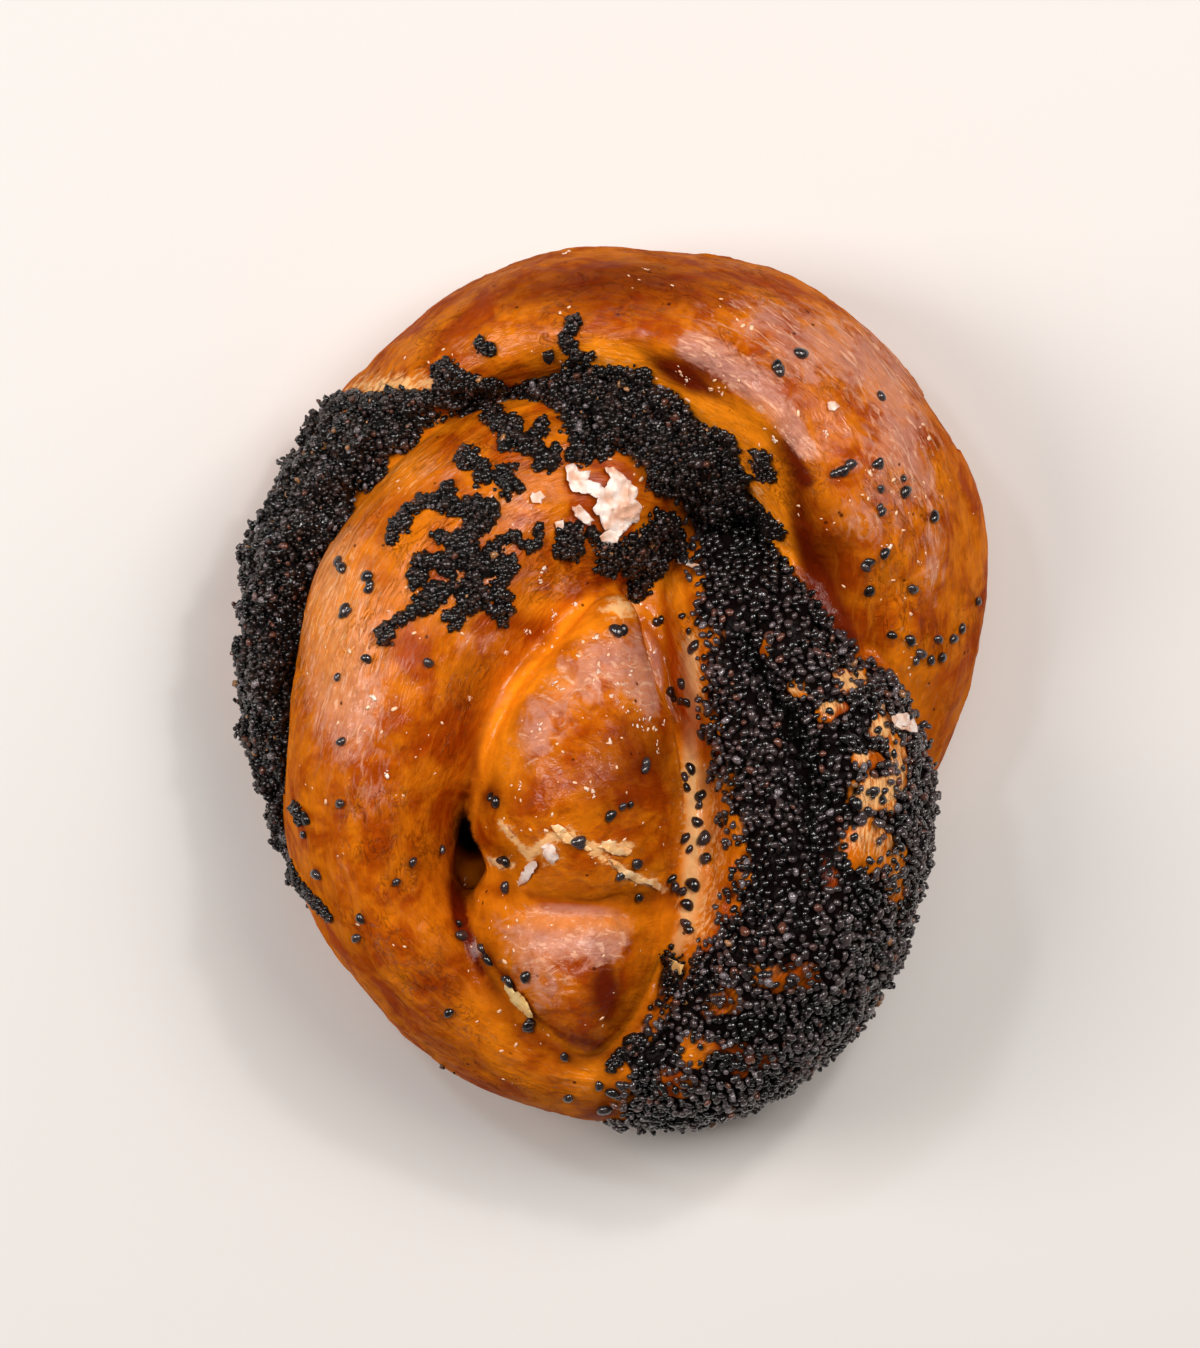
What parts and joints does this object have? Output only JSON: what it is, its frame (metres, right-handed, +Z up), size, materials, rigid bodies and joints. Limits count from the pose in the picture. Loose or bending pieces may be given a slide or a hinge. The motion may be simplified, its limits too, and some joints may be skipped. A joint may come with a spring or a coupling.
{
  "type": "poppy seed bun",
  "caption": "Knotted sweet roll of egg-washed dough with poppy filling in its seams and a seeded side, lying on a flat underside.",
  "frame": {"origin": "on the tray, under the middle of the bun's box", "axes": "+Z up from the tray, +Y along the plan's longer side towards the arched outer strand, +X towards the seeded side"},
  "size_m": [0.0938, 0.11, 0.0506],
  "materials": {
    "baked_dough": "amber egg-washed crust, satin to glossy, pale in the seams, with whole seeds baked on",
    "poppy_filling": "coarse crumbly ground poppy seed, blue-black"
  },
  "bodies": {
    "root": {"dough": "baked_dough", "poppy_filling": "poppy_filling"}
  },
  "joints": []
}
